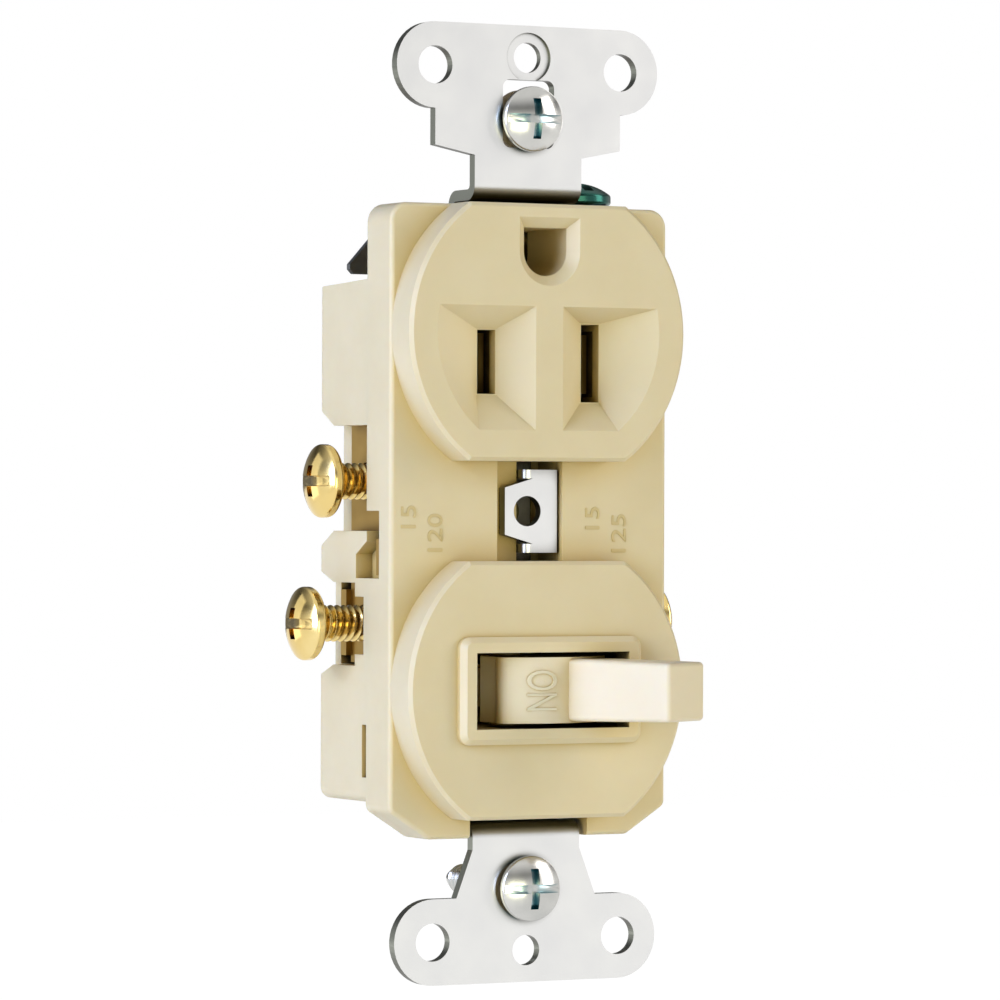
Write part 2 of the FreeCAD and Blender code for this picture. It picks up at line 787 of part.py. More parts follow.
def make_base():
    body = new_body("base")
    shape = front_sketch(body, "seam")
    outline(shape, mirrored_corners([
        ("head_half", "head_top"),
        ("head_half", "block_top"),
        ("flange_half", "block_top"),
        ("flange_half", "-base_bottom"),
    ]))
    grow(body, shape, "base_deep", True)
    for side in (-1, 1):
        side_cut(body, side, "flange_half - head_half", [
            ("seam", "block_top"),
            (BASE_REAR, "block_top - block_draft"),
            (BASE_REAR, "block_top"),
        ])
    round_edges(body, "base_rear_edge", lambda edge, at: (
        near(at.y, number(BASE_REAR)) or (runs_along(edge, Y_AXIS) and at.z < -number("base_bottom") + 0.1)))

    # Terminal recesses: open to the side, with a low lip along the rear and tabs in the lower one
    bites = (
        ("upper", "seam", "-barrier_high", "upper_recess_top"),
        ("lower", "seam + corner_tab_deep", "-lower_recess_bottom", "-barrier_low"),
        ("lower", "seam + lower_recess_front", "-lower_recess_bottom + corner_tab_low",
         "-barrier_low - corner_tab_high"),
    )
    rear_corners = (("upper", "upper_recess_top", "barrier_cut_tall"),
                    ("upper", "-barrier_high", "-barrier_cut_tall"),
                    ("lower", "-barrier_low", "lower_cut_tall"),
                    ("lower", "-lower_recess_bottom", "-lower_cut_tall"))
    for side in (-1, 1):
        for lip, front, low, high in bites:
            outer = (f"{side} * (recess_floor + {lip}_lip_out)", f"{side} * flange_half")
            inner = (f"{side} * recess_floor", f"{side} * flange_half")
            cut_block(body, outer[::side], (front, BASE_REAR), (low, high))
            cut_block(body, inner[::side], (front, f"{BASE_REAR} - {lip}_lip_thick"), (low, high))
        for lip, z, rise in rear_corners:
            side_cut(body, side, f"flange_half - recess_floor - {lip}_lip_out", [
                (f"{BASE_REAR} - barrier_cut_deep", z),
                (BASE_REAR, z),
                (BASE_REAR, f"{z} + {rise}"),
            ])
        side_cut(body, side, "hollow_in", [
            ("seam", f"{FIN} - fin_notch_low"),
            ("seam + hollow_deep", f"{FIN} - fin_notch_low"),
            ("seam + hollow_deep", "-hollow_shoulder"),
            ("seam", "-hollow_high"),
        ])

    # Slot down each side wall for the terminal plates
    for side in (-1, 1):
        limits = (f"{side} * recess_floor", f"{side} * ({PLATE_OUT} + seat_clear)")
        cut_block(body, limits[::side], ("seam", "plate_rear + seat_clear"),
                  ("-lower_recess_bottom - seat_clear", "upper_recess_top + plate_rise + seat_clear"))

    # Seat for the strap
    half_neck, half_frame = "(neck_half + seat_clear)", "(frame_half + seat_clear)"
    strap_depth = ("seam", STRAP_REAR)
    frame = {
        "head": ((f"-{half_neck}", half_neck), ("spine_top - seat_clear", "head_top")),
        "spine": (("-spine_half - seat_clear", "spine_half + seat_clear"), ("-spine_bottom", "spine_top")),
        "upper_bar": ((f"-{half_frame}", half_frame), (f"{LOWER} + frame_opening_tall - seat_clear",
                                                      "-spine_bottom")),
        "left_rail": ((f"-{half_frame}", "-frame_opening_half + seat_clear"),
                      (f"{LOWER} - frame_opening_tall", f"{LOWER} + frame_opening_tall")),
        "right_rail": (("frame_opening_half - seat_clear", half_frame),
                       (f"{LOWER} - frame_opening_tall", f"{LOWER} + frame_opening_tall")),
        "lower_bar": ((f"-{half_frame}", half_frame), ("-base_bottom", f"{LOWER} - frame_opening_tall + seat_clear")),
    }
    for across, up in frame.values():
        cut_block(body, across, strap_depth, up)

    # Rooms for the outlet contacts and the slots through which their tails reach the plates
    for side in (-1, 1):
        across, up = contact_room(side)
        cut_block(body, across, ("seam", ROOM_FLOOR), (f"{up[0]} - tail_tall", up[1]))
        limits = (f"{side} * recess_floor", f"{side} * blade_apart")
        cut_block(body, limits[::-side], ("leaf_rear - foot_long", "leaf_rear + leaf_thick + pocket_clear"),
                  (f"{TAIL[0]} - seat_clear", f"{TAIL[1]} + seat_clear"))

    # Room for the ground contact, and the slots that hold the grounding bracket
    up = (f"{GROUND} - ground_leaf_half - pocket_clear", f"{GROUND} + ground_leaf_half + pocket_clear")
    wide, narrow = "(ground_plate_half + pocket_clear)", "(pin_room + leaf_thick + pocket_clear)"
    cut_block(body, (f"-{wide}", wide),
              (STRAP_REAR, f"{STRAP_REAR} + leaf_thick + rivet_head_thick + pocket_clear"), up)
    cut_block(body, (f"-{narrow}", narrow), (STRAP_REAR, ROOM_FLOOR), up)
    slot = ("bracket_deep - seat_clear", "bracket_deep + bracket_thick + seat_clear")
    cut_block(body, ("-head_half", "head_half"), slot, (f"{TAB_TOP} - bracket_strip - seat_clear", "head_top"))
    for side in (-1, 1):
        limits = (f"{side} * (bracket_inner - seat_clear)", f"{side} * head_half")
        cut_block(body, limits[::side], slot, ("block_top", "head_top"))

    # Switch room, half seats for the toggle's pins and slots for the switch's two bus strips
    cut_block(body, ("-switch_room_half", "switch_room_half"), ("seam", ROOM_FLOOR),
              (f"{LOWER} - switch_room", f"{LOWER} + switch_room"))
    bore_up(body, "0", "seam", "pin_radius + pin_clear",
            (f"{LOWER} - pin_half - pin_clear", f"{LOWER} + pin_half + pin_clear"))
    for side, rear in ((-1, f"{CONTACT_DEEP} + bracket_thick"), (1, ROOM_FLOOR)):
        limits = (f"{side} * switch_room_half", f"{side} * recess_floor")
        cut_block(body, limits[::side], (f"{rear} - foot_long - seat_clear", rear),
                  (f"{BUS[0]} - seat_clear", f"{BUS[1]} + seat_clear"))

    # Room for the tips of the terminal screws, snap slots and the assembly screws' holes
    tip = f"({PLATE_OUT} - terminal_shank_long - bore_clear)"
    for side in (-1, 1):
        for z in ("upper_terminal", "-lower_terminal"):
            limits = (f"{side} * {tip}", f"{side} * recess_floor")
            bore_across(body, "terminal_deep", z, "terminal_shank_radius + bore_clear", limits[::side])
        limits = (f"{side} * (flange_half - snap_deep)", f"{side} * flange_half")
        cut_block(body, limits[::side], ("seam", "seam + snap_deep"), ("-snap_low", "-snap_high"))
        for z in ("assembly_high", "-assembly_low"):
            x = f"{side} * assembly_across"
            bore_deep(body, x, z, "assembly_radius + seat_clear", ("seam", BASE_REAR))
            bore_deep(body, x, z, "assembly_head_radius + seat_clear",
                      (f"{BASE_REAR} - assembly_sunk - assembly_head_high", BASE_REAR))
    return body


# Toggle: drum, lever, pins and the stem that guides the plunger, drawn about its pin at mid throw

def place_on_pivot(item):
    """Puts what is drawn about the toggle's pin in its place, thrown to the right."""
    bind(item, ".Placement.Base.y", "seam")
    bind(item, ".Placement.Base.z", LOWER)


def make_toggle():
    body = new_body("toggle")
    drum = new_sketch(body, "XY_Plane", "-drum_half")
    edge_x, edge_y = "drum_radius * sin(drum_spread)", "-drum_radius * cos(drum_spread)"
    outline(drum, [
        (f"-{edge_x}", edge_y, "drum_radius", 1),
        (edge_x, edge_y),
        ("drum_waist", "-drum_waist_out"),
        ("drum_foot", "-drum_foot_out"),
        ("hub_radius", "0"),
        ("-hub_radius", "0"),
        ("-drum_foot", "-drum_foot_out"),
        ("-drum_waist", "-drum_waist_out"),
    ])
    grow(body, drum, "2 * drum_half")
    grow(body, ring(new_sketch(body, "XY_Plane", "-drum_half"), "0", "0", "hub_radius"), "2 * drum_half")
    round_edges(body, "drum_edge", lambda edge, at: (
        runs_along(edge, Z_AXIS) and near(at.y, number(edge_y))))
    lever = body.newObject("PartDesign::AdditiveLoft", "lever")
    lever.Profile = box_outline(front_sketch(body, "hub_radius - drum_radius"),
                                ("-lever_half", "lever_half"), ("-drum_half + lever_edge / 4",
                                                                "drum_half - lever_edge / 4"))
    tip_tall = "(drum_half - lever_draft / 2)"
    lever.Sections = [box_outline(front_sketch(body, "-drum_radius - lever_long"),
                                  ("-lever_tip_half", "lever_tip_half"), (f"-{tip_tall}", tip_tall))]
    lever.Ruled = True
    tip = number("-drum_radius - lever_long")
    round_edges(body, "lever_edge", lambda edge, at: near(at.y, tip) or (
        at.y < tip / 2 - 3 and near(abs(at.x), number("(lever_half + lever_tip_half) / 2"), 0.2)
        and abs(at.z) > number("drum_half") - 0.5))
    grow(body, ring(new_sketch(body, "XY_Plane", "-pin_half"), "0", "0", "pin_radius"), "2 * pin_half")
    add_block(body, ("-stem_half", "stem_half"), ("0", "stem_long"), ("-stem_half", "stem_half"))
    bore_deep(body, "0", "0", "plunger_radius + plunger_clear", ("-spring_seat", "stem_long"))
    body.Placement.Rotation = FreeCAD.Rotation(Z_AXIS, number("toggle_throw"))
    place_on_pivot(body)
    return body


def turned(name, corners, outward):
    """A body turned about its own Z axis from half its section; Z then points outward."""
    body = new_body(name)
    profile = outline(new_sketch(body, "XZ_Plane", "0"), corners)
    solid = body.newObject("PartDesign::Revolution", name + "_turn")
    solid.Profile = profile
    solid.ReferenceAxis = (profile, ["V_Axis"])
    solid.Angle = 360
    profile.Visibility = False
    body.Placement.Rotation = FreeCAD.Rotation(Z_AXIS, outward)
    return body


def place_at(item, x, y, z):
    for axis, text in zip("xyz", (x, y, z)):
        bind(item, f".Placement.Base.{axis}", text)


def make_plunger():
    angle = math.radians(number("toggle_throw"))
    inward = FreeCAD.Vector(-math.sin(angle), math.cos(angle), 0)
    nose = "(plunger_reach - plunger_radius)"
    body = turned("plunger", [
        ("0", "plunger_tail"),
        ("plunger_radius", "plunger_tail"),
        ("plunger_radius", nose, "plunger_radius", 1),
        ("0", "plunger_reach"),
    ], inward)
    place_on_pivot(body)
    return body


def make_spring():
    """The plunger's compression spring, in the bore of the toggle's stem."""
    wire = number("spring_wire")
    radius = number("plunger_radius") - 1.4 * wire
    low, high = -number("spring_seat") + wire * 1.2, number("plunger_tail") - wire * 1.2
    path = Part.Wire(Part.makeHelix((high - low) / 4.5, high - low, radius))
    section = Part.Wire(Part.makeCircle(wire, FreeCAD.Vector(radius, 0, 0), Y_AXIS))
    item = doc.addObject("Part::Feature", "spring")
    item.Shape = path.makePipeShell([section], True, True)
    angle = math.radians(number("toggle_throw"))
    inward = FreeCAD.Vector(-math.sin(angle), math.cos(angle), 0)
    pivot = FreeCAD.Vector(0, number("seam"), number(LOWER))
    item.Placement = FreeCAD.Placement(pivot + inward * low, FreeCAD.Rotation(Z_AXIS, inward))
    return finished(item, "toggle_spring")


# Screws

def make_screw(name, outward, head, shank, cut, cross=None, neck=None, point=None):
    """A domed screw. head is radius, height and rim; shank, neck and point are radius and length,
    cut width and depth, cross the half length of a second cut."""
    head_radius, head_high, rim = head
    shank_radius, shank_long = shank
    dome = f"({head_high} - {rim})"
    upper = [(shank_radius, "0")]
    if neck:
        upper = [(shank_radius, f"-{neck[1]}"), (neck[0], f"-{neck[1]}"), (neck[0], "0")]
    end_radius, end_long = point or (f"{shank_radius} * 0.75", f"{shank_radius} * 0.25")
    body = turned(name, [
        ("0", f"-({shank_long})"),
        (end_radius, f"-({shank_long})"),
        (shank_radius, f"-({shank_long}) + {end_long}"),
        *upper,
        (head_radius, "0"),
        (head_radius, rim, f"({head_radius} ^ 2 + {dome} ^ 2) / (2 * {dome})", 1),
        ("0", head_high),
    ], outward)
    round_edges(body, f"{rim} * rim_round", lambda edge, at: (
        near(math.hypot(at.x, at.y), number(head_radius))
        and (near(at.z, 0) or near(at.z, number(rim)))))
    wide, deep = cut
    reach = f"{head_radius} * 1.2"
    slot = new_sketch(body, "XY_Plane", head_high)
    along, across = (f"-({reach})", reach), (f"-({wide}) / 2", f"({wide}) / 2")
    order = 1 if outward.y else -1
    box_outline(slot, *(along, across)[::order])
    sink(body, slot, deep)
    if cross:
        recess = new_sketch(body, "XY_Plane", head_high)
        box_outline(recess, *(across, (f"-({cross})", cross))[::order])
        sink(body, recess, deep)
    return body


# Flat pieces

def make_terminal_plate(name, side, up, terminals, fin=False):
    """A plate on the floor of the terminal recesses, with tapped holes, a rib behind each lower
    terminal and on one side the fin."""
    across = (f"{side} * recess_floor", f"{side} * {PLATE_OUT}")[::side]
    pieces = [block(across, ("plate_front", "plate_rear"), up)]
    if fin:
        fin_up = (f"{FIN} - fin_half", f"{FIN} + fin_half")
        pieces.append(block(across, ("fin_front", "plate_front"), fin_up))
        leg = (f"{side} * recess_floor", f"{side} * ({PLATE_OUT} + fin_out)")[::side]
        pieces.append(block(leg, ("fin_front", "fin_front + fin_thick"), fin_up))
    if "-lower_terminal" in terminals:
        rib = (f"{side} * recess_floor", f"{side} * ({PLATE_OUT} + rib_out)")[::side]
        pieces.append(block(rib, ("plate_rear", "rib_rear"),
                            ("-lower_terminal - rib_half_tall", "-lower_terminal + rib_half_tall")))
    plate = joined(pieces) if len(pieces) > 1 else pieces[0]
    for z in terminals:
        hole = rod((across[0], "terminal_deep", z), "terminal_shank_radius + terminal_hole_clear",
                   "plate_thick", X_AXIS)
        plate = cut_from(plate, hole)
    return finished(plate, name)


def make_outlet_contact(name, side):
    """A U of two leaves round a blade, with a tail and a foot on the terminal plate."""
    middle = f"{side} * blade_apart"
    leaves = ("leaf_front", "leaf_rear")
    bridge = ("leaf_rear", "leaf_rear + leaf_thick")
    up = (f"{BLADES} - leaf_tall / 2", f"{BLADES} + leaf_tall / 2")
    outer = f"({LEAF_GAP} + leaf_thick)"
    tail = (middle, f"{side} * recess_floor")[::side]
    foot = (f"{side} * (recess_floor - leaf_thick)", f"{side} * recess_floor")[::side]
    pieces = [
        block((f"{middle} - {outer}", f"{middle} - {LEAF_GAP}"), leaves, up),
        block((f"{middle} + {LEAF_GAP}", f"{middle} + {outer}"), leaves, up),
        block((f"{middle} - {outer}", f"{middle} + {outer}"), bridge, (TAIL[0], up[1])),
        block(tail, bridge, TAIL),
        block(foot, ("leaf_rear + leaf_thick - foot_long", "leaf_rear + leaf_thick"), TAIL),
    ]
    return finished(joined(pieces), name)


def make_ground_contact():
    plate_deep = (STRAP_REAR, f"{STRAP_REAR} + leaf_thick")
    up = (f"{GROUND} - ground_leaf_half", f"{GROUND} + ground_leaf_half")
    pieces = []
    for side in (-1, 1):
        wing = (f"{side} * pin_room", f"{side} * ground_plate_half")[::side]
        leaf = (f"{side} * pin_room", f"{side} * (pin_room + leaf_thick)")[::side]
        pieces.append(block(wing, plate_deep, up))
        pieces.append(block(leaf, (STRAP_REAR, "ground_leaf_rear"), up))
    pieces.append(block(("-pin_room - leaf_thick", "pin_room + leaf_thick"),
                        ("ground_leaf_rear", "ground_leaf_rear + leaf_thick"), up))
    contact = joined(pieces)
    for side in (-1, 1):
        hole = rod((f"{side} * ground_rivet_across", STRAP_REAR, GROUND), "ground_rivet_radius",
                   "leaf_thick", Y_AXIS)
        contact = cut_from(contact, hole)
    return finished(contact, "ground_contact")


def make_ground_rivet(name, side):
    body = turned(name, [
        ("0", "-rivet_head_thick"),
        ("rivet_head_radius", "-rivet_head_thick"),
        ("rivet_head_radius", "0"),
        ("ground_rivet_radius", "0"),
        ("ground_rivet_radius", "strap_thick + leaf_thick"),
        ("rivet_head_radius", "strap_thick + leaf_thick"),
        ("rivet_head_radius", "strap_thick + leaf_thick + rivet_head_thick"),
        ("0", "strap_thick + leaf_thick + rivet_head_thick"),
    ], Y_AXIS)
    place_at(body, f"{side} * ground_rivet_across", "seam", GROUND)
    return body


def make_ground_bracket():
    """A plate behind the top of the base, with a tab over the base for the green screw."""
    body = new_body("ground_bracket")
    low = "(block_top + bracket_stand)"
    slope = f"(bracket_slope * ({TAB_TOP} - {low} - bracket_corner))"
    plate = outline(front_sketch(body, "bracket_deep + bracket_thick"), [
        ("-bracket_wing + bracket_tip", low),
        ("-bracket_inner", low),
        ("-bracket_inner", f"{TAB_TOP} - bracket_strip"),
        ("bracket_inner", f"{TAB_TOP} - bracket_strip"),
        ("bracket_inner", low),
        (TAB_RIGHT, low),
        (TAB_RIGHT, TAB_TOP),
        (f"-bracket_wing + {slope}", TAB_TOP),
        ("-bracket_wing", f"{low} + bracket_corner"),
        ("-bracket_wing", f"{low} + bracket_tip"),
    ])
    grow(body, plate, "bracket_thick")
    add_block(body, ("spine_half", TAB_RIGHT), (STRAP_REAR, "bracket_deep + bracket_thick"),
              (f"{TAB_TOP} - bracket_thick", TAB_TOP))
    bore_up(body, "ground_screw_across", "ground_screw_deep",
            "terminal_shank_radius + terminal_hole_clear", ("head_top", TAB_TOP))
    return body


def make_washer(name, z):
    plate = rod(("0", "strap_thick", z), "washer_radius", "washer_thick", Y_AXIS)
    hole = rod(("0", "strap_thick", z), "box_shank_radius + washer_clear", "washer_thick", Y_AXIS)
    return finished(cut_from(plate, hole), name)


# Switch contacts

def make_contact_arm():
    """The rocking arm, drawn about its fulcrum at mid throw."""
    body = new_body("contact_arm")
    section = new_sketch(body, "XY_Plane", "-arm_tall")
    tip = "(-arm_saddle_deep - (arm_half - arm_saddle) * tan(arm_tilt))"
    right = [("0", "0"), ("arm_saddle", "-arm_saddle_deep"), ("arm_half", tip)]
    front = [(x, f"{y} - arm_thick") for x, y in reversed(right)]
    left = [(f"-{x}", y) for x, y in front[:2][::-1] + right[:0:-1]]
    outline(section, right + front + left)
    grow(body, section, "2 * arm_tall")
    body.Placement.Rotation = FreeCAD.Rotation(Z_AXIS, -number("arm_tilt"))
    bind(body, ".Placement.Base.y", "fulcrum_deep")
    bind(body, ".Placement.Base.z", LOWER)
    return body


def make_fixed_contact():
    deep = (CONTACT_DEEP, f"{CONTACT_DEEP} + bracket_thick")
    inner = "-button_across + button_radius + bus_gap"
    pieces = [
        block(("-button_across - button_radius - bus_gap", inner), deep,
              (f"{LOWER} - button_radius - bus_gap", BUS[1])),
        block(("-recess_floor", inner), deep, BUS),
        block(("-recess_floor", "-recess_floor + bracket_thick"),
              (f"{CONTACT_DEEP} + bracket_thick - foot_long", deep[1]), BUS),
    ]
    return finished(joined(pieces), "fixed_contact")


def make_arm_support():
    strip = (f"{ROOM_FLOOR} - bracket_thick", ROOM_FLOOR)
    pieces = [
        block(("-support_half", "support_half"), ("fulcrum_deep + arm_clear", ROOM_FLOOR),
              (f"{LOWER} - arm_tall", f"{LOWER} + arm_tall")),
        block(("-support_half", "recess_floor"), strip, BUS),
        block(("recess_floor - bracket_thick", "recess_floor"), (f"{ROOM_FLOOR} - foot_long", ROOM_FLOOR), BUS),
    ]
    return finished(joined(pieces), "arm_support")


def make_button(name, deep):
    button = rod(("-button_across", deep, LOWER), "button_radius", "button_thick", Y_AXIS)
    return finished(button, name)


make_strap()
make_cover()
make_base()
make_toggle()
make_plunger()
make_spring()
make_contact_arm()
make_button("moving_contact", ARM_REST)
make_button("fixed_contact_button", f"{ARM_REST} + button_thick")
make_fixed_contact()
make_arm_support()

plate_top = "upper_recess_top + plate_rise"
plate_bottom = "-lower_recess_bottom + plate_fall"
make_terminal_plate("line_terminal_plate", -1, (plate_bottom, plate_top),
                    ("upper_terminal", "-lower_terminal"), fin=True)
make_terminal_plate("neutral_terminal_plate", 1, ("-barrier_high + plate_fall", plate_top),
                    ("upper_terminal",))
make_terminal_plate("load_terminal_plate", 1, (plate_bottom, "-barrier_low - plate_fall"),
                    ("-lower_terminal",))
make_outlet_contact("hot_contact", -1)
make_outlet_contact("neutral_contact", 1)
make_ground_contact()
make_ground_rivet("ground_rivet_left", -1)
make_ground_rivet("ground_rivet_right", 1)
make_ground_bracket()

terminal_head = ("terminal_head_radius", "terminal_head_high", "terminal_rim")
terminal_shank = ("terminal_shank_radius", "terminal_shank_long")
for name, side, z, backed_out in (("line_screw_upper", -1, "upper_terminal", "upper_backed_out"),
                                  ("line_screw_lower", -1, "-lower_terminal", "lower_backed_out"),
                                  ("neutral_screw", 1, "upper_terminal", "upper_backed_out"),
                                  ("load_screw", 1, "-lower_terminal", "lower_backed_out")):
    screw = make_screw(name, X_AXIS * side, terminal_head, terminal_shank, ("slot_cut", "slot_cut_deep"),
                       "terminal_cross")
    place_at(screw, f"{side} * ({PLATE_OUT} + {backed_out})", "terminal_deep", z)
screw = make_screw("ground_screw", Z_AXIS, ("ground_head_radius", "terminal_head_high", "terminal_rim"),
                   ("terminal_shank_radius", "ground_shank_long"), ("slot_cut", "slot_cut_deep"))
place_at(screw, "ground_screw_across", "ground_screw_deep", f"{TAB_TOP} + ground_backed_out")
for name, z in (("top", "box_screw_up"), ("bottom", "-box_screw_up")):
    screw = make_screw("mounting_screw_" + name, -Y_AXIS, ("box_head_radius", "box_head_high", "box_rim"),
                       ("box_shank_radius", "box_shank_long"), ("box_slot_cut", "box_slot_cut"),
                       "box_head_radius * 0.62", ("box_neck_radius", "box_neck_long"),
                       ("box_point_radius", "box_point_long"))
    place_at(screw, "0", "-box_head_stand", z)
    make_washer("retaining_washer_" + name, z)
for number_of, (side, z) in enumerate([(a, b) for b in ("assembly_high", "-assembly_low") for a in (-1, 1)], 1):
    underside = f"({BASE_REAR} - assembly_sunk - assembly_head_high)"
    screw = make_screw(f"assembly_screw_{number_of}", Y_AXIS,
                       ("assembly_head_radius", "assembly_head_high", "assembly_head_high / 2"),
                       ("assembly_radius", f"{underside} - assembly_front - assembly_sunk"),
                       ("assembly_radius / 2", "assembly_head_high / 2"))
    place_at(screw, f"{side} * assembly_across", underside, z)


# Check and write every sub-part

doc.recompute()
failed = [item.Name for item in doc.Objects if {"Invalid", "Error"} & set(item.State)]
if failed:
    raise SystemExit("failed objects: " + ", ".join(failed))
os.makedirs("parts", exist_ok=True)
for item in subparts:
    shape = item.Shape
    if shape.isNull() or not shape.isValid() or shape.Volume <= 0:
        raise SystemExit("bad shape: " + item.Label)
for item in subparts:
    item.Shape.exportStep(f"parts/{item.Label}.step")
    print(f"{item.Label:28s} solids {len(item.Shape.Solids)} volume {item.Shape.Volume:10.1f}")
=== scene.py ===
import json
import math
from collections import namedtuple

import bmesh
import bpy
from mathutils import Matrix, Vector


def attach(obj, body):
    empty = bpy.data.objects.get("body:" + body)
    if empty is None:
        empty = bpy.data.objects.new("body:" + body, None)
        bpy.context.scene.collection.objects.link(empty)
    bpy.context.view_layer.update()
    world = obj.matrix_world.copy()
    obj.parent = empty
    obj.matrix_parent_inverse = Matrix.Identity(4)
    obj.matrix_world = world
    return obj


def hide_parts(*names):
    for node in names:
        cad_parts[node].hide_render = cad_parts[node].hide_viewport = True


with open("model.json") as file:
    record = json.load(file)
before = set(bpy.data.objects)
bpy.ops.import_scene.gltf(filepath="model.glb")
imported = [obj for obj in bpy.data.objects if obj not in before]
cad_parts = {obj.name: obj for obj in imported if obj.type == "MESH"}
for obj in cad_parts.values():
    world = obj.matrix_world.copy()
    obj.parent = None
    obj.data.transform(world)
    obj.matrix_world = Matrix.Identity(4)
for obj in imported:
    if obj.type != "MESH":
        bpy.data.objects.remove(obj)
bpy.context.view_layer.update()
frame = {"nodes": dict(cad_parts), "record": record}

# Looks of a wall device: a toggle switch below a grounded outlet, on one steel strap.
# Metres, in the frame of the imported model: X right, Y into the wall, Z up. Sizes of screws,
# lettering and broken edges are written in millimetres and turned into metres by MM.

MM = 0.001
nodes = frame["nodes"]
slot_of = {entry["node"]: entry["material_slot"] for entry in frame["record"]["subparts"]}
joints = {joint["name"]: joint for joint in frame["record"]["behaviour"]["joints"]}

# The toggle's axis, the angle from straight out at which it rests, and its drum's radius
PIVOT = Vector(joints["toggle_throw"]["pos_m"])
THROW = math.radians(-joints["toggle_throw"]["range_deg"][0] / 2)
DRUM = 10.9 * MM
# Front plane of the cover's flange along Y, in millimetres
FLANGE = -0.6
# Edges that turn by more than this are broken or kept sharp
SHARP = math.radians(32)


def add(name, data):
    """An object of this data, in the scene."""
    item = bpy.data.objects.new(name, data)
    bpy.context.collection.objects.link(item)
    return item


# Camera, fitted to the photograph

YAW, TILT, ROLL = (math.radians(angle) for angle in (27.8403, -0.0535, 0.1853))
LENS, SENSOR = 192.459, 36
STAND = (-0.273425, -0.511376, -0.000141)
NEAREST = 0.01


def set_camera():
    back = Vector((-math.sin(YAW) * math.cos(TILT), -math.cos(YAW) * math.cos(TILT), math.sin(TILT)))
    level = Vector((math.cos(YAW), -math.sin(YAW), 0))
    up = back.cross(level)
    right = level * math.cos(ROLL) + up * math.sin(ROLL)
    up = back.cross(right)
    camera = add("camera", bpy.data.cameras.new("camera"))
    camera.data.lens = LENS
    camera.data.sensor_width = SENSOR
    camera.data.clip_start = NEAREST
    rows = [(right[k], up[k], back[k], STAND[k]) for k in range(3)]
    camera.matrix_world = Matrix((*rows, (0, 0, 0, 1)))
    bpy.context.scene.camera = camera


# Materials

def srgb(red, green, blue):
    """A colour as it is seen on screen, 0 to 255, as the shader's linear values."""
    def linear(value):
        value /= 255
        return value / 12.92 if value <= 0.04045 else ((value + 0.055) / 1.055) ** 2.4
    return (linear(red), linear(green), linear(blue), 1)


class Surface:
    """A Principled material with helpers for noise in its colour, roughness and bump."""

    def __init__(self, name, **values):
        self.material = bpy.data.materials.new(name)
        self.material.use_nodes = True
        self.tree = self.material.node_tree
        self.shader = self.tree.nodes["Principled BSDF"]
        for key, value in values.items():
            self.shader.inputs[key.replace("_", " ")].default_value = value
        self.place = self.new("ShaderNodeTexCoord").outputs["Object"]
        self.height = None

    def new(self, kind, **inputs):
        """A node with these inputs, each a value or another node's socket."""
        node = self.tree.nodes.new(kind)
        for key, value in inputs.items():
            self.feed(node.inputs[key.replace("_", " ")], value)
        return node

    def feed(self, socket, value):
        if isinstance(value, bpy.types.NodeSocket):
            self.tree.links.new(value, socket)
        else:
            socket.default_value = value

    def noise(self, scale, detail, stretch=(1, 1, 1)):
        place = self.new("ShaderNodeMapping", Vector=self.place, Scale=stretch).outputs["Vector"]
        return self.new("ShaderNodeTexNoise", Vector=place, Scale=scale, Detail=detail).outputs["Fac"]

    def spread(self, value, low, high, out_low=0.0, out_high=1.0):
        """The values from low to high laid over another range and held at its ends."""
        node = self.new("ShaderNodeMapRange", Value=value, From_Min=low, From_Max=high,
                        To_Min=out_low, To_Max=out_high)
        return node.outputs["Result"]

    def colours(self, value, low, high, first, second):
        """The first colour where the value is low, running to the second where it is high."""
        mix = self.tree.nodes.new("ShaderNodeMix")
        mix.data_type = "RGBA"
        factor, from_colour, to_colour = mix.inputs[0], mix.inputs[6], mix.inputs[7]
        self.feed(factor, self.spread(value, low, high))
        self.feed(from_colour, first)
        self.feed(to_colour, second)
        return mix.outputs[2]

    def openness(self, reach):
        """1 on an open face, down to 0 deep in a recess narrower than the reach."""
        return self.new("ShaderNodeAmbientOcclusion", Distance=reach).outputs["AO"]

    def sheet(self, tone, edge, under):
        """The tone on a sheet's faces along Y, a painted dark reflection on its edges and a darker one
        where they face down.
        """
        geometry = self.new("ShaderNodeNewGeometry")
        normal = self.new("ShaderNodeSeparateXYZ", Vector=geometry.outputs["True Normal"])
        facing = self.new("ShaderNodeMath")
        facing.operation = "ABSOLUTE"
        self.feed(facing.inputs[0], normal.outputs["Y"])
        side = self.colours(normal.outputs["Z"], -0.8, 0.0, under, edge)
        return self.colours(facing.outputs["Value"], 0.3, 0.99, side, tone)

    def set(self, name, value):
        self.tree.links.new(value, self.shader.inputs[name])

    def bump(self, value, strength, distance):
        """Adds a layer of bump over those before it."""
        node = self.new("ShaderNodeBump", Height=value, Strength=strength, Distance=distance)
        if self.height:
            self.tree.links.new(self.height, node.inputs["Normal"])
        self.height = node.outputs["Normal"]
        self.set("Normal", self.height)


# Openness at which ivory has its own colour, the painted shade of its recesses and the darker painted
# shade of its slots
OPEN, HALF_SHUT, SHUT = 0.92, 0.28, 0.1
IVORY_REACH = 0.005
# Painted shade of ivory's recesses, a warm gold
IVORY_RECESS_SHADE = srgb(198, 170, 96)
# How far light runs inside it, in all and for red, green and blue
IVORY_DEPTH, IVORY_SPREAD = 0.0012, (1.0, 0.65, 0.3)


